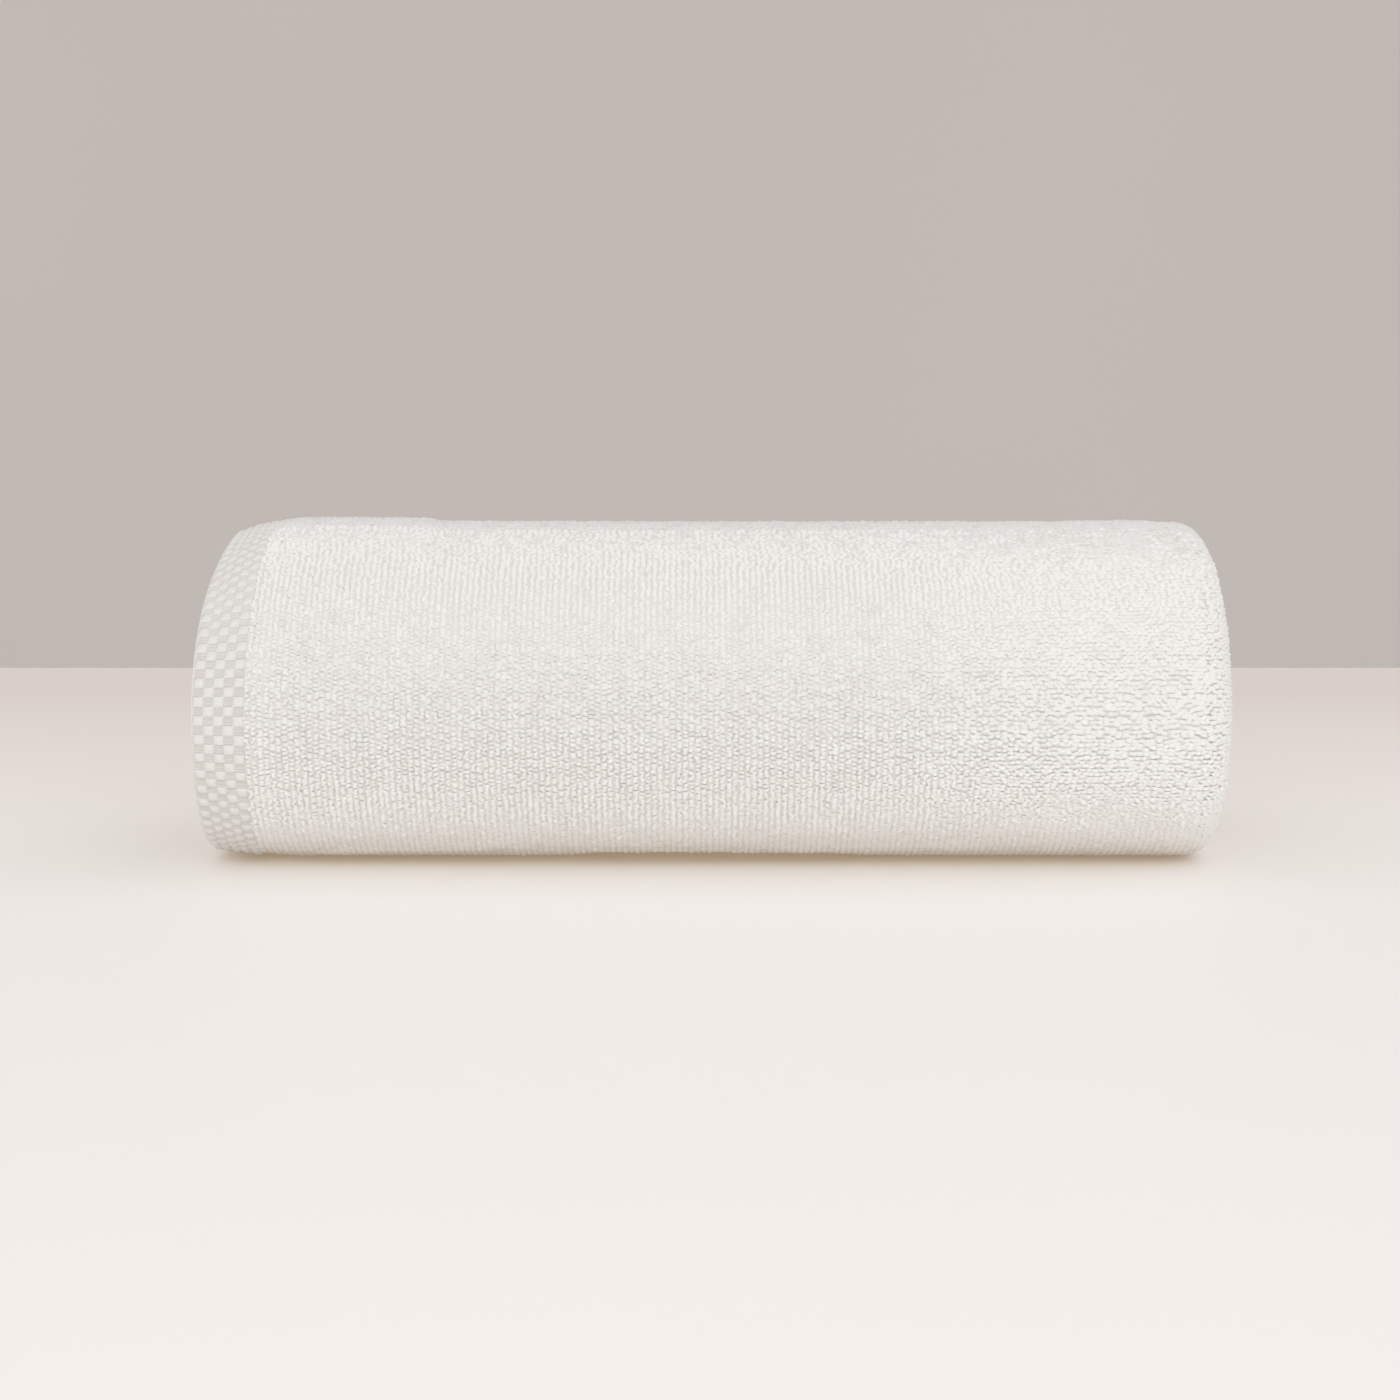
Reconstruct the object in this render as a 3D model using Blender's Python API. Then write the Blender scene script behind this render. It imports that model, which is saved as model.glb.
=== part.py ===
"""Rolled bath towel: one terry towel, folded in four lengthwise and rolled up.

Metres, +Z up. The roll's axis lies along X with the woven hem at the -X end and
the folded end at +X. Y points away from the viewer. The origin is on the floor
under the middle of the roll.
"""
import bmesh
import bpy
from math import cos, pi, radians, sin
from mathutils import Vector, geometry

# The towel and its folds
TOWEL_LENGTH = 1.40
LAYERS = 4
LAYER_PITCH = 0.00525
TURN_GAP = 0.00045
ROLL_LENGTH = TOWEL_LENGTH / LAYERS
STRIP_PITCH = LAYERS * LAYER_PITCH
STRIP_THICK = STRIP_PITCH - TURN_GAP

# Outline of the roll, seen along its axis: front, top, back and bottom points
FRONT_Y, FRONT_Z = -0.079, 0.0535
TOP_Y, TOP_Z = 0.019, 0.1160
BACK_Y, BACK_Z = 0.079, 0.060
BOTTOM_Y, BOTTOM_Z = -0.004, -0.0012
ROUNDNESS = 0.55
OUTLINE_STEPS = 48

# Winding: the strip thickens out of the core, as its layers begin one after
# another, and ends under the back
CORE_Y, CORE_Z = -0.002, 0.054
OUTER_RADIUS = 0.079
CORE_HOLE = 0.0015
CORE_EDGE = 0.0040
LOOSE_EDGE_ANGLE = radians(-60)
TAPER_ANGLE = radians(90)
LOOSE_EDGE_TURN = radians(30)
ANGLE_STEP = radians(10)

# Woven hem at the -X end: thinner than the pile, and drawn in at its edge
HEM_WIDTH = 0.0195
PILE_STEP = 0.0014
PILE_EDGE = 0.0025
PILE_DROP = 0.0011
HEM_DROP = 0.0042
HEM_ROUND = 0.0010
INNER_FOLD_SET_BACK = 0.0012

# Soft unevenness of the outermost turn along the roll: (place, height)
SWELLS = ((-0.139, 0.0), (-0.105, 0.0010), (-0.070, 0.0), (0.020, -0.0003), (0.110, 0.0005), (0.150, 0.0))

RIM_STEPS = 8
FOLD_STEPS = 5
COLLECTION = "rolled_bath_towel"
NAME = "rolled_towel"
TERRY_COLOUR = (0.81, 0.79, 0.76, 1.0)
TERRY_ROUGHNESS = 0.95


def clear_scene():
    for item in list(bpy.data.objects):
        bpy.data.objects.remove(item, do_unlink=True)


def smooth(t):
    t = min(max(t, 0.0), 1.0)
    return t * t * (3.0 - 2.0 * t)


def arc(x, u, radius, start, end, steps):
    """Points along an arc, from one angle to the other, in degrees."""
    turns = [radians(start + (end - start) * i / steps) for i in range(steps + 1)]
    return [(x + radius * cos(a), u + radius * sin(a)) for a in turns]


def strip_profile():
    """Outline across the folded strip: X along the roll, U through its four layers.

    Positive U faces out. The +X end is the outer fold, a full round. The -X end
    has the inner fold below and the two hems above it.
    """
    left, right, half = -ROLL_LENGTH / 2, ROLL_LENGTH / 2, STRIP_THICK / 2
    fold = half / 2
    fold_x = left + INNER_FOLD_SET_BACK + fold
    hem_top = half - HEM_DROP
    terry = left + HEM_WIDTH
    outer_fold = arc(right - half, 0.0, half, 90, -90, RIM_STEPS)
    inner_fold = arc(fold_x, -fold, fold, 270, 90, FOLD_STEPS)
    hem = [
        (left + HEM_ROUND, HEM_ROUND / 2),
        (left, HEM_ROUND * 1.5),
        (left, hem_top - HEM_ROUND),
        (left + HEM_ROUND, hem_top),
        (left + HEM_WIDTH / 2, (hem_top + half - PILE_DROP - PILE_STEP) / 2),
        (terry - PILE_EDGE / 2, half - PILE_DROP - PILE_STEP),
        (terry + PILE_EDGE / 2, half - PILE_DROP),
    ]
    rows = [(x, half) for x, _ in SWELLS]
    return outer_fold + inner_fold + hem + rows


def winding_steps():
    inner = 2 * pi * (OUTER_RADIUS - CORE_EDGE) / STRIP_PITCH
    return round((inner - LOOSE_EDGE_TURN) / ANGLE_STEP)


def flat_strip():
    """The folded strip laid flat, swept along Y, which counts the winding's steps."""
    bm = bmesh.new()
    ring = [bm.verts.new((x, 0.0, u)) for x, u in strip_profile()]
    edges = [bm.edges.new(pair) for pair in zip(ring, ring[1:] + ring[:1])]
    bmesh.ops.spin(bm, geom=ring + edges, axis=(1, 0, 0), cent=(0, 0, 0),
                   dvec=(0, 1, 0), angle=0, steps=winding_steps())
    bmesh.ops.holes_fill(bm, edges=bm.edges[:], sides=0)
    bmesh.ops.recalc_face_normals(bm, faces=bm.faces[:])
    return bm


def outline_points():
    """The roll's outline as four quarters between its front, top, back and bottom."""
    front, top = Vector((FRONT_Y, FRONT_Z)), Vector((TOP_Y, TOP_Z))
    back, bottom = Vector((BACK_Y, BACK_Z)), Vector((BOTTOM_Y, BOTTOM_Z))
    points = []
    for upright, level in ((back, top), (front, top), (front, bottom), (back, bottom)):
        rise = Vector((0.0, (level.y - upright.y) * ROUNDNESS))
        run = Vector(((upright.x - level.x) * ROUNDNESS, 0.0))
        ends = (upright, upright + rise, level + run, level)
        quarter = geometry.interpolate_bezier(*(p.to_3d() for p in ends), OUTLINE_STEPS)
        points.append(quarter if len(points) % 2 == 0 else quarter[::-1])
    return [Vector((p.x - CORE_Y, max(p.y, 0.0) - CORE_Z)) for q in points for p in q[:-1]]


def outline_radius(points, angle):
    """How far the outline lies from the core in one direction."""
    ray = Vector((cos(angle), sin(angle)))
    for a, b in zip(points, points[1:] + points[:1]):
        side_a = ray.x * a.y - ray.y * a.x
        side_b = ray.x * b.y - ray.y * b.x
        if side_a <= 0.0 < side_b and (a + b).dot(ray) > 0.0:
            return a.lerp(b, side_a / (side_a - side_b)).dot(ray)
    raise ValueError("the core lies outside the outline")


def taper(turn):
    """How much thinner the strip gets as its four layers end under the roll."""
    return STRIP_PITCH * (1.0 - smooth(turn / TAPER_ANGLE))


def swell(x):
    for (x0, h0), (x1, h1) in zip(SWELLS, SWELLS[1:]):
        if x0 <= x <= x1:
            return h0 + (h1 - h0) * smooth((x - x0) / (x1 - x0))
    return 0.0


def wind(bm):
    """Roll the flat strip up, then let the round spiral sag to the roll's outline.

    Turn is the angle still to go before the loose edge, so it falls outwards.
    """
    points = outline_points()
    steps = winding_steps()
    for vert in bm.verts:
        turn = LOOSE_EDGE_TURN + (steps - vert.co.y) * ANGLE_STEP
        last = turn % (2 * pi)
        spiral = OUTER_RADIUS - STRIP_PITCH * last / (2 * pi) - taper(last)
        sag = outline_radius(points, LOOSE_EDGE_ANGLE + last) / spiral
        height = vert.co.z / STRIP_THICK + 0.5
        outside = OUTER_RADIUS - STRIP_PITCH * turn / (2 * pi)
        inside = max(outside - STRIP_THICK, CORE_HOLE)
        angle = LOOSE_EDGE_ANGLE + turn
        lift = 0.0
        if turn < 2 * pi:
            outside -= taper(turn)
            lift = swell(vert.co.x) * height * smooth(sin(angle) + 0.5)
        radius = (inside + height * (outside - inside)) * sag + lift
        vert.co.y = CORE_Y + radius * cos(angle)
        vert.co.z = max(CORE_Z + radius * sin(angle), 0.0)


def terry():
    material = bpy.data.materials.new("white_terry")
    material.use_nodes = True
    shader = material.node_tree.nodes["Principled BSDF"]
    shader.inputs["Base Color"].default_value = TERRY_COLOUR
    shader.inputs["Roughness"].default_value = TERRY_ROUGHNESS
    shader.inputs["Metallic"].default_value = 0.0
    return material


def rolled_towel(collection):
    bm = flat_strip()
    wind(bm)
    bmesh.ops.recalc_face_normals(bm, faces=bm.faces[:])
    mesh = bpy.data.meshes.new(NAME)
    bm.to_mesh(mesh)
    bm.free()
    mesh.materials.append(terry())
    mesh.shade_smooth()
    mesh.set_sharp_from_angle(angle=radians(40))
    towel = bpy.data.objects.new(NAME, mesh)
    collection.objects.link(towel)
    return towel


def main():
    clear_scene()
    collection = bpy.data.collections.new(COLLECTION)
    bpy.context.scene.collection.children.link(collection)
    rolled_towel(collection)


main()
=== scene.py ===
# %% [markdown]
# # A rolled bath towel
#
# The towel is one length of white terry, 0.70 by 1.40 m. It is folded in four along its
# length and then rolled up across its width, so the roll is 0.35 m long. The CAD solid
# gives its size and place.

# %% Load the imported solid
from math import pi, radians

import bpy
import numpy as np
from mathutils import Matrix, Vector, geometry


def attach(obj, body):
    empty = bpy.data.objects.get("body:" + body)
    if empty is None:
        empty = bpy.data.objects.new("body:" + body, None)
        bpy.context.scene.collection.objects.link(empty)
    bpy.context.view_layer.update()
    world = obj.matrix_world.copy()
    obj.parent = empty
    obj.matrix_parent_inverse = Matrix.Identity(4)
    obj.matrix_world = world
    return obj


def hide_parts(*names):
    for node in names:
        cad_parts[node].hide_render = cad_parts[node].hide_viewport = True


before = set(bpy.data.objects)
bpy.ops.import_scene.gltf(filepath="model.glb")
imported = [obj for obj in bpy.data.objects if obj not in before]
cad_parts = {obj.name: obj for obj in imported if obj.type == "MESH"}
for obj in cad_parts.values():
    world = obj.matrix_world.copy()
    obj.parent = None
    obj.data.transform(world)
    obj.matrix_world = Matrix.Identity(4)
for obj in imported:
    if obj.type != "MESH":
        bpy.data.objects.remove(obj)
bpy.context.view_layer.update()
bpy.ops.object.select_all(action="DESELECT")

# %% [markdown]
# ## The roll's own numbers
#
# They are the same as in the part's source. A point of the folded strip has three numbers:
# how far it is along the roll, how deep it is below the strip's outside, and the turn that
# is still to go before the loose edge. The roll starts as a round spiral and sags under
# its own weight to the outline that is drawn by four soft quarters.

# %% Sizes, in metres
TOWEL_WIDTH, TOWEL_LENGTH = 0.70, 1.40
LAYERS = 4
LAYER_PITCH = 0.00525
ROLL_LENGTH = TOWEL_LENGTH / LAYERS
LEFT, RIGHT = -ROLL_LENGTH / 2, ROLL_LENGTH / 2
STRIP_PITCH = LAYERS * LAYER_PITCH
FRONT, TOP = Vector((-0.079, 0.0535)), Vector((0.019, 0.1160))
BACK, BOTTOM = Vector((0.079, 0.060)), Vector((-0.004, -0.0012))
ROUNDNESS = 0.55
OUTLINE_STEPS = 96
CORE_Y, CORE_Z = -0.002, 0.054
OUTER_RADIUS = 0.079
CORE_RADIUS, TIGHTEST_RADIUS = 0.0026, 0.0006
LOOSE_EDGE = radians(-60)
TAPER_TURN = radians(90)
FULL_TURN = 2 * pi


# %% Spiral and sag
def smooth(t):
    t = np.clip(t, 0.0, 1.0)
    return t * t * (3.0 - 2.0 * t)


def outline_table():
    """Direction and radius of the roll's outline, all round the core."""
    points = []
    for upright, level in ((BACK, TOP), (FRONT, TOP), (FRONT, BOTTOM), (BACK, BOTTOM)):
        rise = Vector((0.0, (level.y - upright.y) * ROUNDNESS))
        run = Vector(((upright.x - level.x) * ROUNDNESS, 0.0))
        ends = (upright, upright + rise, level + run, level)
        points += geometry.interpolate_bezier(*(p.to_3d() for p in ends), OUTLINE_STEPS)
    y = np.array([p.x for p in points]) - CORE_Y
    z = np.maximum([p.y for p in points], 0.0) - CORE_Z
    direction = np.arctan2(z, y)
    order = np.argsort(direction)
    return direction[order], np.hypot(y, z)[order]


OUTLINE = outline_table()


def outline_radius(angle):
    return np.interp(angle, OUTLINE[0], OUTLINE[1], period=FULL_TURN)


print("outline radius in mm, back, top, front, bottom:",
      [round(float(outline_radius(radians(a))) * 1000, 1) for a in (0, 90, 180, 270)])

# %% [markdown]
# ## Creases, placed one by one
#
# A real roll is never even. This one is a little fuller near the hem end, with a soft step
# where the fullness stops, a pucker near the hem, a shallow hollow low on the front and a
# second, weaker swell near the folded end. Each is a soft ridge or trough with its own
# line, width and height. Placing them one by one keeps them where they are on the real towel,
# which noise would not do. The ends of the roll aren't straight either: the hem end is set
# back near the top, where the outermost turn was pulled in, and the folded end bulges.

# %% Soft ridges and troughs on the outermost turn
# From (x, direction) to (x, direction), half width, height: metres and degrees
CREASES = (
    ((-0.0935, 92), (-0.0900, 140), 0.0035, -0.0006),
    ((-0.0900, 140), (-0.0840, 185), 0.0045, -0.0004),
    ((-0.1520, 116), (-0.1370, 126), 0.0042, -0.0008),
    ((-0.1480, 106), (-0.1380, 110), 0.0040, 0.0004),
    ((-0.0350, 250), (-0.0030, 250), 0.0090, -0.0024),
    ((0.0080, 251), (0.0390, 251), 0.0085, -0.0022),
    ((-0.1500, 110), (-0.1490, 165), 0.0040, -0.0006),
    ((-0.0700, 228), (-0.1300, 236), 0.0060, 0.0006),
    ((0.0300, 232), (0.0900, 229), 0.0060, 0.0005),
    ((0.1200, 205), (0.1500, 215), 0.0070, -0.0006),
    ((-0.0200, 150), (0.0600, 160), 0.0120, -0.0004),
)
# Fullness of the outermost turn over the top of the roll: (x, height)
SWELLS = (
    (-0.1760, -0.0008), (-0.1640, 0.0015), (-0.1480, 0.0026), (-0.1030, 0.0024),
    (-0.0950, 0.0009), (0.0200, 0.0007), (0.1200, 0.0009), (0.1360, 0.0014),
    (0.1480, 0.0014), (0.1640, 0.0008), (0.1760, 0.0003),
)
SWELL_X, SWELL_HEIGHT = np.array(SWELLS).T
SWELL_AT, SWELL_REACH, SWELL_SPREAD = radians(95), radians(55), 1.3
# Mean radius of the roll, which turns an angle into a length round it
AROUND = 0.068


def crease_height(x, angle):
    """Height of the listed creases at places along the roll and round it."""
    round_ = np.mod(angle, FULL_TURN)
    height = np.zeros(np.broadcast(x, round_).shape)
    for (x0, a0), (x1, a1), half_width, rise in CREASES:
        start = np.array((x0, radians(a0) * AROUND))
        run = np.array((x1, radians(a1) * AROUND)) - start
        dx, dy = x - start[0], round_ * AROUND - start[1]
        share = np.clip((dx * run[0] + dy * run[1]) / run.dot(run), 0.0, 1.0)
        away = np.hypot(dx - share * run[0], dy - share * run[1])
        height = height + rise * np.exp(-(away / half_width) ** 2)
    step = np.searchsorted(SWELL_X, x).clip(1, len(SWELL_X) - 1)
    x0, x1 = np.take(SWELL_X, step - 1), np.take(SWELL_X, step)
    h0, h1 = np.take(SWELL_HEIGHT, step - 1), np.take(SWELL_HEIGHT, step)
    swell = h0 + (h1 - h0) * smooth((x - x0) / (x1 - x0))
    return height + swell * smooth(SWELL_SPREAD - np.abs(round_ - SWELL_AT) / SWELL_REACH)


# %% Uneven ends, and the winding
LEFT_LEAN, LEFT_LEAN_AT, LEFT_LEAN_REACH = 0.0045, radians(85), radians(95)
LEFT_LEAN_X, LEFT_LEAN_RUN = -0.135, 0.040
RIGHT_BULGE, RIGHT_BULGE_X, RIGHT_BULGE_RUN = 0.0018, 0.100, 0.070


def end_shift(x, angle):
    """The hem end is set back near the top, and the folded end is drawn out a little."""
    off_top = np.abs(np.mod(angle, FULL_TURN) - LEFT_LEAN_AT)
    lean = LEFT_LEAN * smooth(1.0 - off_top / LEFT_LEAN_REACH)
    lean = lean * smooth((LEFT_LEAN_X - x) / LEFT_LEAN_RUN)
    return lean + RIGHT_BULGE * smooth((x - RIGHT_BULGE_X) / RIGHT_BULGE_RUN)


def wound(x, turn, depth):
    """Roll the folded strip up: places of points, one row each."""
    last = np.mod(turn, FULL_TURN)
    taper = STRIP_PITCH * (1.0 - smooth(last / TAPER_TURN))
    sag = outline_radius(LOOSE_EDGE + last)
    sag = sag / (OUTER_RADIUS - STRIP_PITCH * last / FULL_TURN - taper)
    radius = OUTER_RADIUS - STRIP_PITCH * turn / FULL_TURN - depth
    radius = np.maximum(radius, TIGHTEST_RADIUS) * sag
    angle = LOOSE_EDGE + turn
    outermost = (turn < FULL_TURN) * np.clip(1.0 - depth / STRIP_PITCH, 0.0, 1.0)
    radius = radius + crease_height(x, angle) * outermost
    y, z = CORE_Y + radius * np.cos(angle), CORE_Z + radius * np.sin(angle)
    return np.stack(np.broadcast_arrays(x + end_shift(x, angle), y, z), axis=-1)


front_turn = np.array([pi - LOOSE_EDGE])
print("front at mid length, in metres:", wound(np.zeros(1), front_turn, np.zeros(1))[0].round(4))

# %% [markdown]
# ## The cloth
#
# The towel is a flat sheet first: a grid with rows across its width and columns along its
# length. Its columns then follow the four layers from hem to hem, round the two folds at
# the right and the one at the left, and its rows follow the winding. Solidify gives it the
# thickness of the ground weave with the roots of the pile, thinner at the hems. One sheet
# bent in this way has no seams, and its area stays that of the real towel.

# %% The four layers in cross-section
# Thickness of the cloth under the pile, and the share of it that the hem keeps
PILE_CLOTH = 0.0032
HEM_SHARE = 0.50
HEM_EDGE_SHARES = (0.25, 0.38)
TERRY_SHARES = (0.50, 0.74, 0.93, 1.0)
# Depth of the outermost layer's middle, then the folds' radii and centres
FACE_DEPTH = 0.0028
BIG_FOLD, SMALL_FOLD, INNER_FOLD = 0.0074, 0.0025, 0.00245
FOLD_X, INNER_FOLD_X = RIGHT - 0.0103, -0.168
FOLD_DEPTH = FACE_DEPTH + BIG_FOLD
INNER_FOLD_DEPTH = FOLD_DEPTH + (BIG_FOLD + SMALL_FOLD) / 2
HEM_WIDTH = 0.0195
PILE_START = LEFT + HEM_WIDTH


def arc_path(x, depth, radius, start, end, count):
    """Points of a fold: angles in degrees, 90 is towards the strip's outside."""
    a = np.radians(np.linspace(start, end, count))
    return np.stack((x + radius * np.cos(a), depth - radius * np.sin(a)), axis=1)


def level(x0, x1, depth, count):
    return np.stack((np.linspace(x0, x1, count), np.full(count, depth)), axis=1)


# Both hems, as distance from the towel's edge and depth. The first one lies on top
HEM_A = np.array((
    (0.0, 0.0054), (0.0006, 0.0053), (0.0035, 0.0048), (0.0075, 0.0042),
    (0.0120, 0.0035), (0.0165, 0.0029), (0.0187, 0.0028))) + (LEFT, 0.0)
HEM_B = np.array(((0.0187, 0.0078), (0.0100, 0.0077), (0.0018, 0.0075), (0.0012, 0.0075))) + (LEFT, 0.0)
TERRY_X = (PILE_START + 0.0010, -0.1515, -0.1480, -0.1430)
PATH_PARTS = (
    HEM_A,
    np.stack((TERRY_X, np.full(len(TERRY_X), FACE_DEPTH)), axis=1),
    np.concatenate((level(-0.137, -0.106, FACE_DEPTH, 8), level(-0.103, -0.080, FACE_DEPTH, 12),
                    level(-0.075, 0.160, FACE_DEPTH, 42))),
    arc_path(FOLD_X, FOLD_DEPTH, BIG_FOLD, 90, -90, 13),
    level(0.150, -0.155, FOLD_DEPTH + BIG_FOLD, 6),
    arc_path(INNER_FOLD_X, INNER_FOLD_DEPTH, INNER_FOLD, 270, 90, 9),
    level(-0.150, 0.150, FOLD_DEPTH + SMALL_FOLD, 6),
    arc_path(FOLD_X, FOLD_DEPTH, SMALL_FOLD, -90, 90, 9),
    level(0.150, PILE_START, FOLD_DEPTH - SMALL_FOLD, 7),
    HEM_B,
)
PATH = np.concatenate(PATH_PARTS)
# Column at which each part ends: the hem, the terry's edge, the face, the big fold, layer 4,
# the inner fold, layer 3, the small fold, layer 2 and the second hem
ENDS = np.cumsum([len(part) for part in PATH_PARTS])
PATH_LENGTH = np.concatenate(([0.0], np.cumsum(np.hypot(*np.diff(PATH, axis=0).T))))
print("columns:", len(PATH), "hem to hem:", round(PATH_LENGTH[-1], 3), "m")

# %% Where each layer begins at the core and ends under the back
LAYER_ENDS = np.radians((85, 61, 45, 30))
# Layer of each column, which changes little by little round the folds
LAYER = np.interp(np.arange(len(PATH)), (0, *ENDS[2:8], len(PATH)), (1, 1, 4, 4, 3, 3, 2, 2))
# Rows every 5 degrees where the cloth shows, and every 10 degrees further in
ROW_TURNS = np.radians(np.concatenate((np.arange(30, 400, 5), np.arange(400, 1250, 10), [1256])))
STAGGER_FADE = radians(110)
CORE_FADE = radians(430)


def row_turn(turn, first, end):
    """Turn of a row in one layer, which begins late at the core and ends early outside."""
    outer = (first - LAYER_ENDS[3]) * (1.0 - smooth((turn - LAYER_ENDS[3]) / STAGGER_FADE))
    last = ROW_TURNS[-1]
    inner = (last - end) * smooth((turn - last + CORE_FADE) / CORE_FADE)
    return turn + outer - inner


FIRST = np.interp(LAYER, (1, 2, 3, 4), LAYER_ENDS)
END = (OUTER_RADIUS - PATH[:, 1] - CORE_RADIUS) * FULL_TURN / STRIP_PITCH
turns = row_turn(ROW_TURNS[:, None], FIRST[None, :], END[None, :])
print("rows:", len(ROW_TURNS), "turns wound:", round(float(END.max() / FULL_TURN), 2))

# %% Make the flat sheet, fold it and roll it up
bpy.ops.mesh.primitive_grid_add(
    x_subdivisions=len(PATH) - 1, y_subdivisions=len(ROW_TURNS) - 1, size=1.0)
cloth = bpy.context.object
cloth.name = "towel_cloth"
flat = np.empty(len(cloth.data.vertices) * 3)
cloth.data.vertices.foreach_get("co", flat)
flat = flat.reshape(-1, 3)
column = np.rint((flat[:, 0] + 0.5) * (len(PATH) - 1)).astype(int)
row = np.rint((flat[:, 1] + 0.5) * (len(ROW_TURNS) - 1)).astype(int)
rolled = wound(PATH[column, 0], turns[row, column], PATH[column, 1])
cloth.data.vertices.foreach_set("co", rolled.ravel())

# The UV map is the flat towel in metres: along its length, and across it
in_order = rolled[np.argsort(row * len(PATH) + column)].reshape(len(ROW_TURNS), len(PATH), 3)
row_steps = np.linalg.norm(np.diff(in_order, axis=0), axis=2)
across = np.concatenate((np.zeros((1, len(PATH))), np.cumsum(row_steps, axis=0)))
corners = np.empty(len(cloth.data.loops), dtype=int)
cloth.data.loops.foreach_get("vertex_index", corners)
weave = np.stack((PATH_LENGTH[column[corners]], across[row[corners], column[corners]]), axis=1)
cloth.data.uv_layers.active.name = "weave"
cloth.data.uv_layers.active.data.foreach_set("uv", weave.ravel())
cloth.data.update()

# %% Give it its thickness
pile_group = cloth.vertex_groups.new(name="pile")
is_hem = (column < ENDS[0]) | (column >= ENDS[8])
pile_group.add(np.flatnonzero(is_hem).tolist(), HEM_SHARE, "REPLACE")
pile_group.add(np.flatnonzero(~is_hem).tolist(), 1.0, "REPLACE")
for first, shares in ((0, HEM_EDGE_SHARES), (ENDS[0], TERRY_SHARES)):
    for step, share in enumerate(shares):
        pile_group.add(np.flatnonzero(column == first + step).tolist(), share, "REPLACE")
solidify = cloth.modifiers.new("thickness", "SOLIDIFY")
solidify.thickness = PILE_CLOTH
solidify.offset = 0.0
solidify.vertex_group = "pile"
bpy.ops.object.modifier_apply(modifier=solidify.name)
bpy.ops.object.mode_set(mode="EDIT")
bpy.ops.mesh.select_all(action="SELECT")
bpy.ops.mesh.normals_make_consistent(inside=False)
bpy.ops.mesh.select_all(action="DESELECT")
bpy.ops.object.mode_set(mode="OBJECT")
bpy.ops.object.shade_smooth_by_angle(angle=radians(50))
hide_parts("rolled_towel")
print("cloth faces:", len(cloth.data.polygons))

# %% [markdown]
# ## The pile
#
# Terry is covered in small loops of pile yarn that stand up from the ground weave. On this
# towel they are 2.1 mm apart along the warp and 1.55 mm apart across it, and each arches
# along the warp. The gaps between them show the ground, coloured darker and warmer as
# painted shade. A bump map would look flat at the outline and at the folds, so they are
# real loops: one is modelled, and numpy copies it over the surface. Each copy leans, turns
# and grows a little differently.

# %% Model one loop
LOOP_ALONG, LOOP_ACROSS = 0.0021, 0.00155
LOOP_SPAN, LOOP_RISE = 0.00216, 0.00115
YARN_WIDE, YARN_HIGH = 0.00160, 0.00135
ARCH_POWER, SUNK_SHARE = 2.4, 0.40
PLUMP = (1.0, 1.22, 1.15)


def select_by(obj, wanted):
    """Select the vertices whose place makes wanted true, and enter edit mode."""
    bpy.ops.object.mode_set(mode="EDIT")
    bpy.ops.mesh.select_mode(type="VERT")
    bpy.ops.mesh.select_all(action="DESELECT")
    bpy.ops.object.mode_set(mode="OBJECT")
    for vert in obj.data.vertices:
        vert.select = bool(wanted(vert.co))
    bpy.ops.object.mode_set(mode="EDIT")


def model_loop(name, rings):
    """One loop of yarn: a slim three-sided spindle, bent into an arch over its feet."""
    bpy.ops.mesh.primitive_uv_sphere_add(segments=3, ring_count=rings + 1, radius=0.5)
    loop = bpy.context.object
    loop.name = name
    bpy.ops.object.mode_set(mode="EDIT")
    size = (YARN_WIDE, YARN_HIGH, LOOP_SPAN)
    bpy.ops.transform.resize(value=size, center_override=(0.0, 0.0, 0.0))
    bpy.ops.object.mode_set(mode="OBJECT")
    loop.data.transform(Matrix.Rotation(pi / 2, 4, "X") @ Matrix.Rotation(-pi / 2, 4, "Y"))
    places = sorted({round(v.co.x, 6) for v in loop.data.vertices})
    for place in places:
        share = abs(place) / (LOOP_SPAN / 2)
        select_by(loop, lambda co: abs(co.x - place) < 1e-6)
        lift = LOOP_RISE * (1.0 - share ** ARCH_POWER) - YARN_HIGH * SUNK_SHARE
        bpy.ops.transform.translate(value=(0.0, 0.0, lift))
        if 0.1 < share < 0.95:
            bpy.ops.transform.resize(value=PLUMP)
        bpy.ops.object.mode_set(mode="OBJECT")
    return loop


loop_fine = model_loop("loop_fine", 3)
loop_plain = model_loop("loop_plain", 2)
loop_points = [tuple(round(c * 1000, 2) for c in v.co) for v in loop_fine.data.vertices]
print("loop vertices in mm:", loop_points)


# %% Copy one small mesh many times into one piece
FLOOR_GAP = 0.0002
SHARP_EDGE = radians(75)


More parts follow.
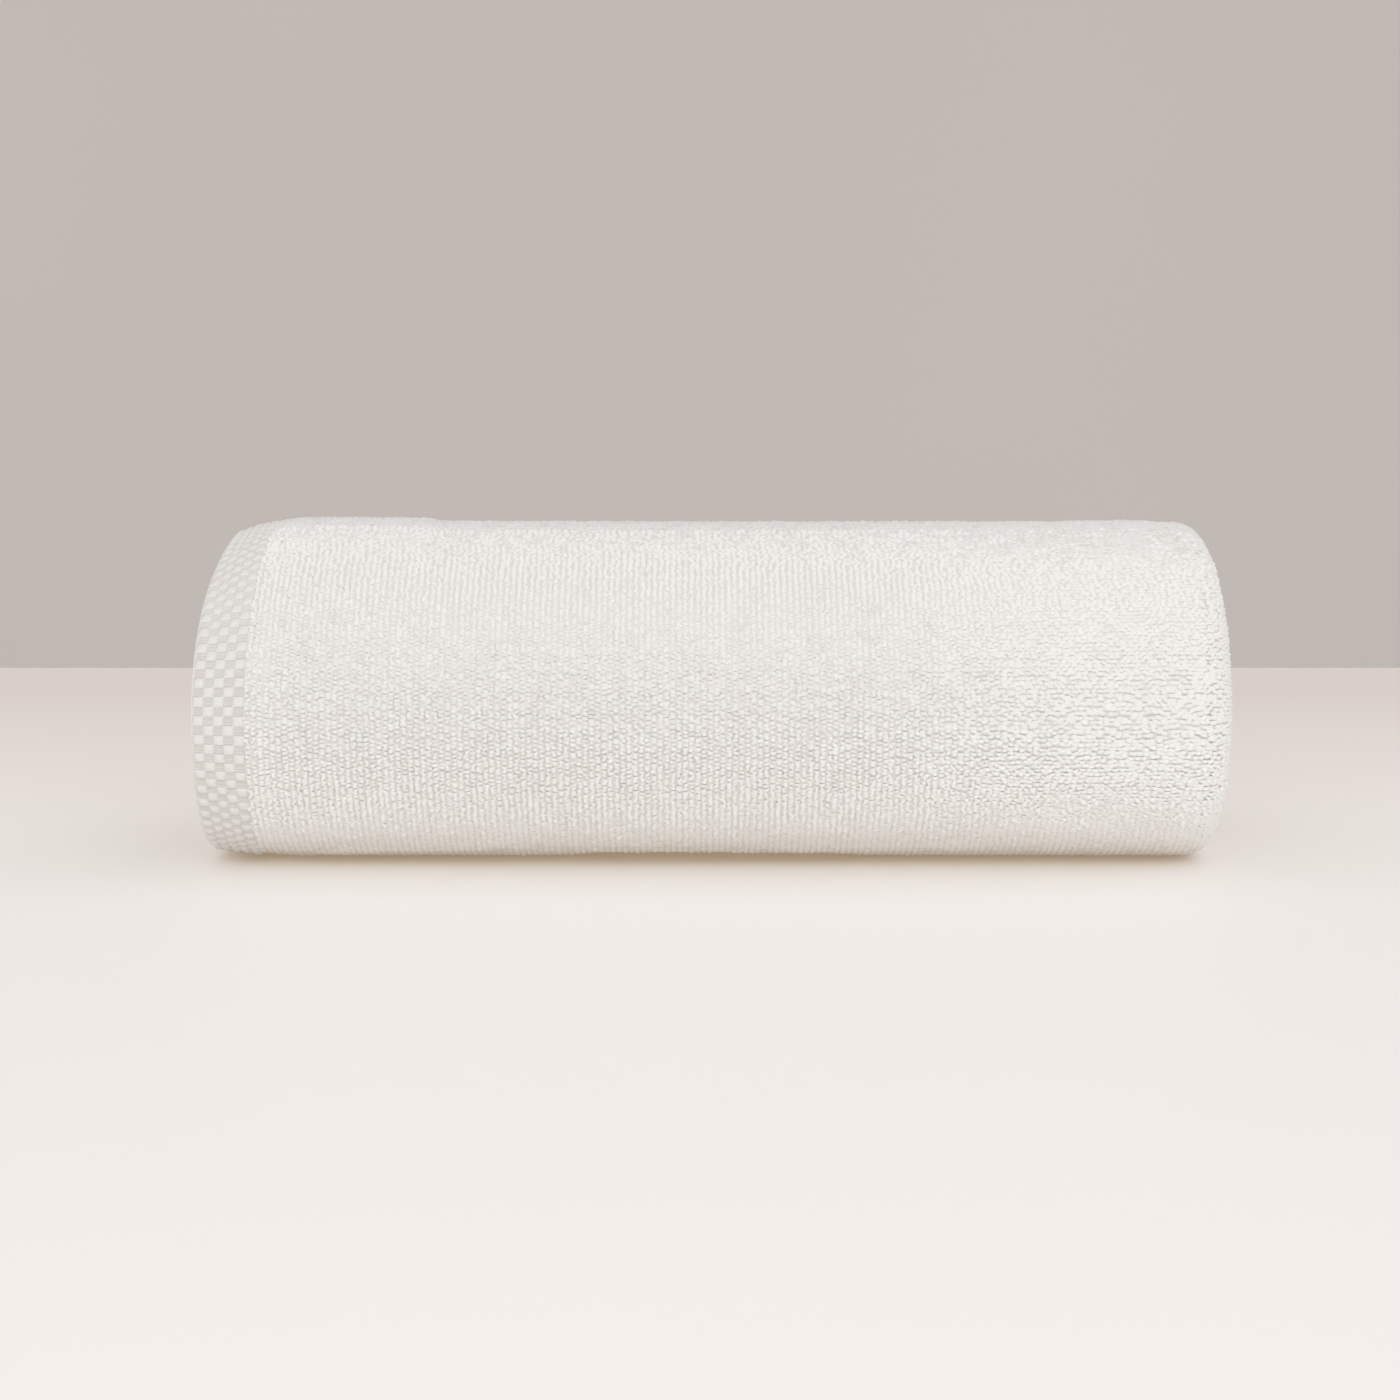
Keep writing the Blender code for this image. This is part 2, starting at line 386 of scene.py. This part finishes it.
def joined_copies(name, original, places, axes):
    """Copies of one small mesh as one object. Axes holds three rows a copy, already sized."""
    mesh = original.data
    shape = np.empty(len(mesh.vertices) * 3)
    mesh.vertices.foreach_get("co", shape)
    shape = shape.reshape(-1, 3)
    corner = np.empty(len(mesh.loops), dtype=np.int32)
    mesh.loops.foreach_get("vertex_index", corner)
    start = np.empty(len(mesh.polygons), dtype=np.int32)
    mesh.polygons.foreach_get("loop_start", start)
    count = len(places)
    points = places[:, None, :] + np.einsum("vk,nkc->nvc", shape, axes)
    points[:, :, 2] = np.maximum(points[:, :, 2], FLOOR_GAP)
    copy = np.arange(count, dtype=np.int32)[:, None]
    joined = bpy.data.meshes.new(name)
    joined.vertices.add(count * len(shape))
    joined.vertices.foreach_set("co", points.ravel())
    joined.loops.add(count * len(corner))
    joined.loops.foreach_set("vertex_index", (corner[None, :] + copy * len(shape)).ravel())
    joined.polygons.add(count * len(start))
    joined.polygons.foreach_set("loop_start", (start[None, :] + copy * len(corner)).ravel())
    joined.update(calc_edges=True)
    joined.validate()
    joined.shade_smooth()
    joined.set_sharp_from_angle(angle=SHARP_EDGE)
    piece = bpy.data.objects.new(name, joined)
    bpy.context.scene.collection.objects.link(piece)
    joined.calc_loop_triangles()
    print(name, "copies:", count, "triangles:", len(joined.loop_triangles))
    return piece


# %% Axes of the cloth's surface at each place
SAMPLE_ALONG, SAMPLE_TURN = 0.0005, 0.006


def unit(v):
    return v / np.maximum(np.linalg.norm(v, axis=-1, keepdims=True), 1e-12)


def surface_axes(path, along, turn):
    """Place, direction along the warp, across it and outwards, on a path of the strip."""
    def at(p, t):
        x, depth = path(p)
        return wound(x, t, depth)

    place = at(along, turn)
    warp = unit(at(along + SAMPLE_ALONG, turn) - at(along - SAMPLE_ALONG, turn))
    weft = unit(at(along, turn + SAMPLE_TURN) - at(along, turn - SAMPLE_TURN))
    outward = unit(np.cross(weft, warp))
    return place, warp, unit(np.cross(outward, warp)), outward


def even_turns(first, last, spacing, depth=0.0):
    """Turns whose places are evenly spaced round the roll."""
    t = np.linspace(first, last, 3000)
    line = wound(np.zeros_like(t), t, np.full_like(t, depth))
    length = np.concatenate(([0.0], np.cumsum(np.linalg.norm(np.diff(line, axis=0), axis=1))))
    count = max(int(round(length[-1] / spacing)), 1)
    return np.interp((np.arange(count) + 0.5) * length[-1] / count, length, t)


# %% [markdown]
# ## How the loops lie
#
# New loops would stand straight. Washing and folding have combed them: near the top they
# are brushed flat, low on the front many are turned and hang down as strands, and towards
# the folded end they lie over to the side in wavy streaks. Every second column is set off
# by half a loop, as the weave sets it. The lean of every loop is worked out from its place,
# with a little chance added, so the streaks run on from loop to loop.

# %% Lean, turn and size of each loop
# Directions are in degrees: 0 is the back, 90 the top, 180 the front and 270 the bottom
rng = np.random.default_rng(7)
HANGING_FROM, HANGING_RUN = 212, 26
WAVE_COUNT, WAVE_SCALE = 7, 3.2


def waves(x, s, seed, size):
    """Soft unevenness between about -1 and 1, in metres along and round the roll."""
    chance = np.random.default_rng(seed)
    total = np.zeros(np.broadcast(x, s).shape)
    for _ in range(WAVE_COUNT):
        angle, phase = chance.uniform(0, pi), chance.uniform(0, FULL_TURN)
        scale = FULL_TURN / (size * chance.uniform(0.6, 1.7))
        total = total + np.sin((x * np.cos(angle) + s * np.sin(angle)) * scale + phase)
    return total / WAVE_SCALE


def zones(x, angle):
    """How far each place is streaky, low on the front, or brushed flat near the top."""
    degrees = np.degrees(np.mod(angle, FULL_TURN))
    low = smooth((degrees - 188) / 44) * smooth((330 - degrees) / 30)
    streaky = smooth((x - 0.035) / 0.110) * (1.0 - low)
    brushed = smooth((140 - degrees) / 35) * smooth((degrees - 20) / 40)
    return streaky, low, brushed


def loop_axes(warp, across, outward, x, angle):
    """Three sized axes for each loop, leaning as its place asks.

    Yaw turns a loop, side and down tip it over, and the others scale it. Each adds
    chance, soft waves and the share of each zone, in given shares.
    """
    n = len(x)
    s = angle * AROUND
    degrees = np.degrees(np.mod(angle, FULL_TURN))
    streaky, low, brushed = zones(x, angle)
    yaw = rng.normal(0.0, 0.34, n) * (1.0 - 0.6 * streaky)
    yaw = yaw + (0.10 + 0.14 * streaky) * waves(x, s * 2.2, 11, 0.014)
    side = rng.normal(0.0, 0.18, n) + 0.14 * waves(x, s, 5, 0.011)
    side = side + 0.14 * streaky * waves(x * 0.6, s * 1.8, 3, 0.010)
    down = rng.normal(0.0, 0.18, n) + 0.14 * waves(x, s, 23, 0.013) + 0.22 * low
    rise = 1.0 + rng.normal(0.0, 0.12, n) + 0.10 * waves(x, s, 31, 0.012)
    rise = rise - 0.22 * streaky - 0.28 * brushed - 0.56 * low
    hanging = rng.random(n) < smooth((degrees - HANGING_FROM) / HANGING_RUN) * low
    yaw = np.where(hanging, pi / 2 + 0.4 * yaw, yaw)
    rise = rise - 0.15 * hanging
    width = 1.0 + rng.normal(0.0, 0.11, n) + 0.14 * brushed + 0.10 * streaky
    width = width + 0.30 * low - 0.04 * hanging
    span = 0.98 + rng.normal(0.0, 0.12, n) + 0.42 * streaky + 0.40 * brushed + 0.34 * low
    c, k = np.cos(yaw)[:, None], np.sin(yaw)[:, None]
    u = (warp * c + across * k) * span[:, None]
    v = (across * c - warp * k) * width[:, None]
    w = (outward + warp * side[:, None] - across * down[:, None]) * rise[:, None]
    return np.stack((u, v, w), axis=1)


# %% Paths of the surfaces that carry loops
LOOP_DEPTH = 0.0013
ROOT_DEPTH = 0.0001
FACE_END = FOLD_X - PILE_START
BIG_LOOP_RADIUS = FOLD_DEPTH - LOOP_DEPTH
INNER_LOOP_RADIUS = INNER_FOLD + PILE_CLOTH / 2 - ROOT_DEPTH


def outer_face(p):
    """Along the outermost layer from the hem, and on round the big fold."""
    bend = np.maximum(p - FACE_END, 0.0) / BIG_LOOP_RADIUS
    x = PILE_START + np.minimum(p, FACE_END) + BIG_LOOP_RADIUS * np.sin(bend)
    thin = (1.0 - np.array(TERRY_SHARES)) * PILE_CLOTH / 2
    sunk = np.interp(x, TERRY_X, thin, right=0.0) * (p < FACE_END)
    return x, LOOP_DEPTH + sunk + BIG_LOOP_RADIUS * (1.0 - np.cos(bend))


def inner_fold(p):
    """Round the fold between the third and fourth layer, from its middle."""
    bend = p / INNER_LOOP_RADIUS
    x = INNER_FOLD_X - INNER_LOOP_RADIUS * np.cos(bend)
    return x, INNER_FOLD_DEPTH + INNER_LOOP_RADIUS * np.sin(bend)


def step_face(depth):
    """The path along a deeper layer, which shows at the loose edge."""
    surface = depth - PILE_CLOTH / 2 + 2 * ROOT_DEPTH
    return lambda p: (PILE_START + p, np.full_like(p, surface))


# %% Grids of loops on a path
UNEVEN_ALONG, UNEVEN_ACROSS, WANDER = 0.00016, 0.00019, 0.00030


def loop_places(path, first, last, turn_list):
    """A grid of loops with a little chance in it: along the path, and turn."""
    count = int(round((last - first) / LOOP_ALONG))
    along = first + (np.arange(count) + 0.5) * (last - first) / count
    p, t = np.meshgrid(along, turn_list)
    streaky, _, brushed = zones(PILE_START + p, LOOSE_EDGE + t)
    t = t + 0.5 * LOOP_ACROSS / AROUND * (np.arange(count) % 2) * (1.0 - streaky)
    loose = np.clip(streaky + 0.8 * brushed, 0.0, 1.0)
    row_shift = rng.uniform(-0.5, 0.5, (len(turn_list), 1)) * LOOP_ALONG
    uneven = UNEVEN_ALONG * (1.0 + loose + 1.5 * (p < first + LOOP_ALONG))
    row_shift = row_shift * loose * (p > first + 2 * LOOP_ALONG)
    p = p + row_shift + rng.normal(0.0, 1.0, p.shape) * uneven
    wander = WANDER * loose * waves(p, t * AROUND, 41, 0.012)
    t = t + (rng.normal(0.0, UNEVEN_ACROSS, p.shape) + wander) / AROUND
    return p.ravel(), t.ravel()


def pile(name, original, path, first, last, turn_list, clockwise=False, ends=None):
    """One piece of pile. Where ends is given, it is the turn before which nothing grows."""
    p, t = loop_places(path, first, last, turn_list)
    if ends is not None:
        p, t = p[t > ends(p)], t[t > ends(p)]
    place, warp, across, outward = surface_axes(path, p, t)
    if clockwise:
        across, outward = -across, -outward
    axes = loop_axes(warp, across, outward, place[:, 0], LOOSE_EDGE + t)
    return joined_copies(name, original, place, axes)


# %% Loops on the outermost turn, in four bands, and round the big fold
# The first column lies over the edge of the hem, whose weave it hides unevenly
FACE_START, FACE_STOP = -0.0014, FACE_END + BIG_LOOP_RADIUS * radians(150)
OUTER_START, OUTER_STOP = radians(85), radians(447)
# Each band lies between two turns, in degrees
BANDS = (("pile_back", 85, 150, loop_plain), ("pile_top", 150, 226, loop_fine),
         ("pile_front", 226, 300, loop_fine), ("pile_under", 300, 447, loop_plain))
all_turns = even_turns(OUTER_START, OUTER_STOP, LOOP_ACROSS)
loops = []
for name, first, last, original in BANDS:
    chosen = all_turns[(all_turns >= radians(first)) & (all_turns < radians(last))]
    loops.append(pile(name, original, outer_face, FACE_START, FACE_STOP, chosen))

# %% [markdown]
# The layers end one behind another at the loose edge, so narrow strips of the second,
# third and fourth layer show there, and between the first and the fourth the big fold runs
# out in a slant. The folds of the inner turns show at both ends of the roll. All of these
# carry the same loops, on paths of their own.

# %% Loops on the steps of the loose edge
# The second layer starts beside its hem, the other two at the inner fold
HEM_STEP_START, FOLD_STEP_START = 0.0006, INNER_FOLD_X - PILE_START
STEP_STOP = FACE_END + 0.002
EDGE_MARGIN = 0.02
LAYER_DEPTHS = {2: FOLD_DEPTH - SMALL_FOLD, 3: FOLD_DEPTH + SMALL_FOLD, 4: FOLD_DEPTH + BIG_FOLD}
steps_pile = []
for layer, depth in LAYER_DEPTHS.items():
    chosen = even_turns(LAYER_ENDS[layer - 1], LAYER_ENDS[layer - 2], LOOP_ACROSS)
    first = HEM_STEP_START if layer == 2 else FOLD_STEP_START
    name = "pile_step_%d" % layer
    steps_pile.append(pile(name, loop_plain, step_face(depth), first, STEP_STOP, chosen))


def fold_edge(p):
    """Turn at which the big fold ends: it joins the first layer to the fourth."""
    bend = (p - FACE_END) / BIG_LOOP_RADIUS
    return np.interp(bend, (0.0, pi), (LAYER_ENDS[0], LAYER_ENDS[3])) + EDGE_MARGIN


edge_turns = even_turns(LAYER_ENDS[3], OUTER_START, LOOP_ACROSS)
steps_pile.append(
    pile("pile_fold_edge", loop_plain, outer_face, FACE_END, FACE_STOP, edge_turns, ends=fold_edge))

# %% Loops on the folds of the inner turns
INNER_STOP, INNER_SPACING = radians(1060), LOOP_ACROSS * 1.06
BEND_START, BEND_STOP = (FACE_END + BIG_LOOP_RADIUS * radians(bend) for bend in (8, 172))
inner_turns = even_turns(OUTER_STOP, INNER_STOP, INNER_SPACING)
fold_pile = pile("pile_right_folds", loop_plain, outer_face, BEND_START, BEND_STOP, inner_turns)

LEFT_START, LEFT_STOP, LEFT_REACH = radians(38), radians(900), 0.0054
left_turns = even_turns(LEFT_START, LEFT_STOP, LOOP_ACROSS, INNER_FOLD_DEPTH)
left_pile = pile("pile_left_folds", loop_plain, inner_fold, -LEFT_REACH, LEFT_REACH, left_turns,
                 clockwise=True)

# %% [markdown]
#
# The hem has no pile. Its weave makes a check: cells where the yarn floats on the face and
# stands proud, and cells where it lies below. A cell is 3.4 mm wide and 3.2 mm high, and
# shows three yarns side by side. One raised and one sunken cell are modelled as small
# pillows with these ridges, and copied as on a chessboard, in five columns. The towel's
# second hem lies under the first and shows beside the loose edge, so it gets its cells too.

# %% Model a raised and a sunken cell
CELL_WIDE, CELL_HIGH = 0.00343, 0.00322
CELL_YARNS = 3
HEM_SURFACE = HEM_SHARE * PILE_CLOTH / 2
CELL_EDGE = 0.0007
CELL_COLUMNS = 5
CELL_SKIRT = 0.0005


def model_cell(name, wide, high, rise, ridge, roundness):
    """A pillow of yarns side by side along X, with a short skirt that goes into the cloth."""
    bpy.ops.mesh.primitive_grid_add(x_subdivisions=4, y_subdivisions=CELL_YARNS * 2, size=1.0)
    cell = bpy.context.object
    cell.name = name
    for vert in cell.data.vertices:
        u, v = vert.co.x * 2.0, vert.co.y * 2.0
        dome = (1.0 - abs(u) ** roundness) * (1.0 - abs(v) ** roundness)
        yarn = 0.5 - 0.5 * np.cos((v + 1.0) * pi * CELL_YARNS)
        vert.co = (u * wide / 2, v * high / 2, rise * dome + ridge * (yarn - 0.5))
    bpy.ops.object.mode_set(mode="EDIT")
    bpy.ops.mesh.select_all(action="DESELECT")
    bpy.ops.mesh.select_mode(type="EDGE")
    bpy.ops.mesh.select_non_manifold()
    bpy.ops.mesh.extrude_region_move(TRANSFORM_OT_translate={"value": (0.0, 0.0, -CELL_SKIRT)})
    bpy.ops.object.mode_set(mode="OBJECT")
    return cell


raised_cell = model_cell("raised_cell", CELL_WIDE * 1.16, CELL_HIGH * 1.12, 0.00085, 0.00030, 2.6)
sunken_cell = model_cell("sunken_cell", CELL_WIDE, CELL_HIGH, 0.00001, 0.00046, 4.0)


def hem_path(p):
    """Along the outside of the hem, from the towel's edge."""
    x = LEFT + p
    return x, np.interp(x, HEM_A[:, 0], HEM_A[:, 1]) - HEM_SURFACE


def second_hem_path(p):
    """The towel's other hem lies under the first, and shows where the first ends."""
    return HEM_B[-1, 0] + p, np.full_like(p, HEM_B[-1, 1] - HEM_SURFACE)


def hem_copies(name, original, spots, path=hem_path):
    along, turn = (np.array(part) for part in zip(*spots))
    place, warp, across, outward = surface_axes(path, along, turn)
    grow = 1.0 + rng.normal(0.0, 0.025, (len(place), 1, 1))
    return joined_copies(name, original, place, np.stack((warp, across, outward), axis=1) * grow)


# %% Lay the cells out as on a chessboard
def chessboard(first, last, depth):
    """Places of the raised and of the sunken cells between two turns."""
    turn_list = even_turns(first, last, CELL_HIGH, depth)
    board = [(CELL_EDGE + CELL_WIDE * (c + 0.5), t, (i + c) % 2) for i, t in enumerate(turn_list)
             for c in range(CELL_COLUMNS)]
    return [(p, t) for p, t, odd in board if not odd], [(p, t) for p, t, odd in board if odd]


proud, low_lying = chessboard(radians(86), radians(440), depth=0.004)
raised = hem_copies("hem_raised_checks", raised_cell, proud)
sunken = hem_copies("hem_sunken_checks", sunken_cell, low_lying)
proud, low_lying = chessboard(radians(62), radians(84), depth=0.007)
second_raised = hem_copies("second_hem_raised", raised_cell, proud, second_hem_path)
second_sunken = hem_copies("second_hem_sunken", sunken_cell, low_lying, second_hem_path)
checks = [raised, sunken, second_raised, second_sunken]

# %% Remove the originals, whose copies stay
for original in (loop_fine, loop_plain, raised_cell, sunken_cell):
    bpy.data.objects.remove(original, do_unlink=True)
all_pile = loops + steps_pile + [fold_pile, left_pile]

# %% [markdown]
# ## Finishes
#
# Cotton is matt, with a faint sheen from its fibres at grazing angles and hardly any gloss.
# The colour is a warm white with slight unevenness, and a little darker where the cloth is
# woven tight, in the hem. The hem's sunken cells and the ground under the pile are darker
# still: painted shade in the hollows and in the gaps between the loops. Shader maths is
# written as expressions: a small class wraps a socket, and each operator adds the Math node
# that it stands for.

# %% Shader helpers
class Wire:
    """A socket that can be used in an expression."""

    def __init__(self, tree, socket):
        self.tree, self.socket = tree, socket

    def maths(self, operation, first, second):
        node = self.tree.nodes.new("ShaderNodeMath")
        node.operation = operation
        for slot, value in zip(node.inputs, (first, second)):
            if isinstance(value, Wire):
                self.tree.links.new(value.socket, slot)
            else:
                slot.default_value = value
        return Wire(self.tree, node.outputs[0])

    def __add__(self, other):
        return self.maths("ADD", self, other)

    def __radd__(self, other):
        return self.maths("ADD", other, self)

    def __sub__(self, other):
        return self.maths("SUBTRACT", self, other)

    def __rsub__(self, other):
        return self.maths("SUBTRACT", other, self)

    def __mul__(self, other):
        return self.maths("MULTIPLY", self, other)

    def __rmul__(self, other):
        return self.maths("MULTIPLY", other, self)


class Finish:
    """A material with one Principled shader, built node by node."""

    def __init__(self, name, **constants):
        self.material = bpy.data.materials.new(name)
        self.material.use_nodes = True
        self.tree = self.material.node_tree
        self.shader = self.tree.nodes["Principled BSDF"]
        for socket, value in constants.items():
            self.shader.inputs[socket.replace("_", " ")].default_value = value

    def node(self, kind, settings=None, output=0, **sockets):
        """Make a node: its settings first, then socket values. Socket n0 is the first one."""
        made = self.tree.nodes.new(kind)
        for key, value in (settings or {}).items():
            setattr(made, key, value)
        for key, value in sockets.items():
            slot = made.inputs[int(key[1:])] if key[0] == "n" and key[1:].isdigit() else made.inputs[key]
            if isinstance(value, Wire):
                self.tree.links.new(value.socket, slot)
            else:
                slot.default_value = value
        return Wire(self.tree, made.outputs[output])

    def mix(self, share, first, second):
        """Mix two colours. A Mix node's colour sockets are numbers 6 and 7."""
        return self.node("ShaderNodeMix", {"data_type": "RGBA"}, output=2, n0=share, n6=first, n7=second)

    def feed(self, socket, wire):
        self.tree.links.new(wire.socket, self.shader.inputs[socket])


# %% Cotton, for pile, cloth and checks
COTTON_LIGHT = (0.925, 0.922, 0.908, 1.0)
COTTON_WARM = (0.895, 0.887, 0.866, 1.0)
WOVEN_LIGHT = (0.845, 0.836, 0.818, 1.0)
WOVEN_WARM = (0.812, 0.800, 0.778, 1.0)
# Colours of the hem's sunken cells, darker than the raised ones: painted shade in the hollows.
PAINTED_SHADE_HOLLOW_PALE = (0.745, 0.731, 0.708, 1.0)
PAINTED_SHADE_HOLLOW_WARM = (0.708, 0.690, 0.663, 1.0)
# Ground under the pile, darker and warmer than the loops: painted shade in the gaps between loops.
GROUND_PAINTED_SHADE = (0.820, 0.800, 0.772, 1.0)


def cotton(name, light, warm, fuzz):
    """Matt cotton: broad and fine unevenness in its colour, and fibres in its surface."""
    finish = Finish(name, Roughness=0.95, Specular_IOR_Level=0.18,
                    Sheen_Weight=0.05, Sheen_Roughness=0.45)
    where = finish.node("ShaderNodeTexCoord", output=3)
    broad = finish.node("ShaderNodeTexNoise", Vector=where, Scale=26.0, Detail=3.0)
    fine = finish.node("ShaderNodeTexNoise", Vector=where, Scale=420.0, Detail=2.0)
    finish.feed("Base Color", finish.mix(broad * 0.6 + fine * 0.4, light, warm))
    fibre = finish.node("ShaderNodeTexNoise", Vector=where, Scale=2600.0, Detail=2.0)
    finish.feed("Normal", finish.node("ShaderNodeBump", Strength=fuzz, Distance=0.0003, Height=fibre))
    return finish


for pieces, finish in (
        (all_pile, cotton("terry_pile", COTTON_LIGHT, COTTON_WARM, 0.35)),
        ((raised, second_raised), cotton("hem_check", WOVEN_LIGHT, WOVEN_WARM, 0.25)),
        ((sunken, second_sunken), cotton("hem_hollow_painted_shade", PAINTED_SHADE_HOLLOW_PALE, PAINTED_SHADE_HOLLOW_WARM, 0.25))):
    for piece in pieces:
        piece.data.materials.append(finish.material)
    print(finish.material.name, "pieces:", len(pieces))

# %% Ground weave of the cloth, read from its own UV map in metres
PICK_PITCH, END_PITCH = 0.00062, 0.0011
ground = cotton("ground_weave_and_painted_shade", COTTON_LIGHT, COTTON_WARM, 0.2)
yarns = ground.node("ShaderNodeUVMap", {"uv_map": "weave"})
along = ground.node("ShaderNodeSeparateXYZ", n0=yarns)
over = ground.node("ShaderNodeSeparateXYZ", output=1, n0=yarns)


def ground_maths(operation, **sockets):
    return ground.node("ShaderNodeMath", {"operation": operation}, **sockets)


picks = ground_maths("SINE", n0=over * (FULL_TURN / PICK_PITCH))
ends = ground_maths("SINE", n0=along * (FULL_TURN / END_PITCH))
height = picks * 0.4 + ends * 0.15 + 0.5
ground.feed("Normal", ground.node("ShaderNodeBump", Strength=0.8, Distance=0.00012, Height=height))
past_hem = ground_maths("GREATER_THAN", n0=along, n1=HEM_WIDTH)
before_hem = ground_maths("LESS_THAN", n0=along, n1=float(PATH_LENGTH[-1]) - HEM_WIDTH)
# Under the pile the ground gets the painted shade colour; the hems keep their woven colour.
ground.feed("Base Color", ground.mix(past_hem * before_hem, WOVEN_WARM, GROUND_PAINTED_SHADE))
cloth.data.materials.clear()
cloth.data.materials.append(ground.material)

# %% Tell the frame what the pieces are
for piece in [cloth] + checks + all_pile:
    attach(piece, "root")
print("pieces:", 1 + len(checks + all_pile))

# %% [markdown]
# ## The studio
#
# A pale table with its far edge well behind the roll, a grey-beige wall further back, one
# large soft light in front, and an even light from all round. In the photo the shadow under
# the roll is warm and narrow. The table has a faint warm glow for that, and a slightly cool
# colour that evens it out where the light reaches. Towards the back the table gets darker
# and warmer: painted shade, where the light falls off. The camera looks slightly down from
# the front, with a long lens.

# %% Table and wall
TABLE_BACK, TABLE_FRONT = 0.626, -3.0
TABLE_GLOW, GLOW_COLOUR = 0.145, (1.0, 0.69, 0.42, 1.0)
TABLE_NEAR = (0.872, 0.900, 0.930, 1.0), (0.882, 0.910, 0.942, 1.0)
TABLE_FAR_PAINTED_SHADE = (0.735, 0.725, 0.735, 1.0)
# The share of the far colour, which paints shade towards the back, grows by FAR_GAIN a metre, from
# FAR_LACK below nothing
FAR_GAIN, FAR_LACK = 2.2, 0.1
WALL_Y = 1.8
WALL_COLOURS = (0.592, 0.549, 0.522, 1.0), (0.622, 0.578, 0.551, 1.0)


def stage_box(name, low, high, edge, finish):
    middle = [(a + b) / 2 for a, b in zip(low, high)]
    bpy.ops.mesh.primitive_cube_add(size=1.0)
    box = bpy.context.object
    box.name = name
    bpy.ops.object.mode_set(mode="EDIT")
    bpy.ops.transform.resize(value=[b - a for a, b in zip(low, high)])
    bpy.ops.transform.translate(value=middle)
    bpy.ops.mesh.bevel(offset=edge, segments=3)
    bpy.ops.object.mode_set(mode="OBJECT")
    box.data.materials.append(finish.material)
    print(name, "in metres:", [round(size, 3) for size in box.dimensions])


table_finish = Finish("pale_table", Roughness=0.55, Specular_IOR_Level=0.3,
                      Emission_Strength=TABLE_GLOW, Emission_Color=GLOW_COLOUR)
on_table = table_finish.node("ShaderNodeTexCoord", output=3)
spot = table_finish.node("ShaderNodeTexNoise", Vector=on_table, Scale=9.0)
near = table_finish.mix(spot, *TABLE_NEAR)
backwards = table_finish.node("ShaderNodeSeparateXYZ", output=1, n0=on_table)
# Painted shade: the table's colour gets darker and warmer towards the back.
table_colour = table_finish.mix(backwards * FAR_GAIN - FAR_LACK, near, TABLE_FAR_PAINTED_SHADE)
table_finish.feed("Base Color", table_colour)
wall_finish = Finish("wall_paint", Roughness=0.9)
on_wall = wall_finish.node("ShaderNodeTexCoord", output=3)
grain = wall_finish.node("ShaderNodeTexNoise", Vector=on_wall, Scale=3.0)
wall_finish.feed("Base Color", wall_finish.mix(grain, *WALL_COLOURS))
stage_box("table", (-2.6, TABLE_FRONT, -0.04), (2.6, TABLE_BACK, 0.0), 0.004, table_finish)
stage_box("wall", (-4.0, WALL_Y, -1.2), (4.0, WALL_Y + 0.1, 3.0), 0.01, wall_finish)


# %% Lights
def soft_light(name, place, target, wide, high, watts, colour):
    data = bpy.data.lights.new(name, "AREA")
    data.shape = "RECTANGLE"
    data.size, data.size_y, data.energy, data.color = wide, high, watts, colour
    lamp = bpy.data.objects.new(name, data)
    lamp.location = place
    lamp.visible_camera = False
    lamp.rotation_euler = (Vector(target) - Vector(place)).to_track_quat("-Z", "Y").to_euler()
    bpy.context.scene.collection.objects.link(lamp)
    print(name, "watts:", watts, "metres away:", round((Vector(target) - Vector(place)).length, 2))


soft_light("front_softbox", (0.1, -2.4, 1.05), (0.0, 0.0, 0.05), 3.0, 1.7, 18.5, (1.0, 0.985, 0.968))
world = bpy.data.worlds.new("even_light")
world.use_nodes = True
background = world.node_tree.nodes["Background"]
background.inputs["Color"].default_value = (1.0, 0.985, 0.975, 1.0)
background.inputs["Strength"].default_value = 0.78
bpy.context.scene.world = world
bpy.context.scene.view_settings.view_transform = "Standard"

# %% Camera
LENS, SENSOR = 95.1, 36.0
CAMERA_PLACE, LOOKS_DOWN = (-0.0037, -1.309, 0.203), 6.5
camera_data = bpy.data.cameras.new("camera")
camera_data.lens = LENS
camera_data.sensor_width = SENSOR
camera = bpy.data.objects.new("camera", camera_data)
camera.location = CAMERA_PLACE
camera.rotation_euler = (radians(90 - LOOKS_DOWN), 0.0, 0.0)
bpy.context.scene.collection.objects.link(camera)
bpy.context.scene.camera = camera
print("camera at:", CAMERA_PLACE, "lens in mm:", LENS)
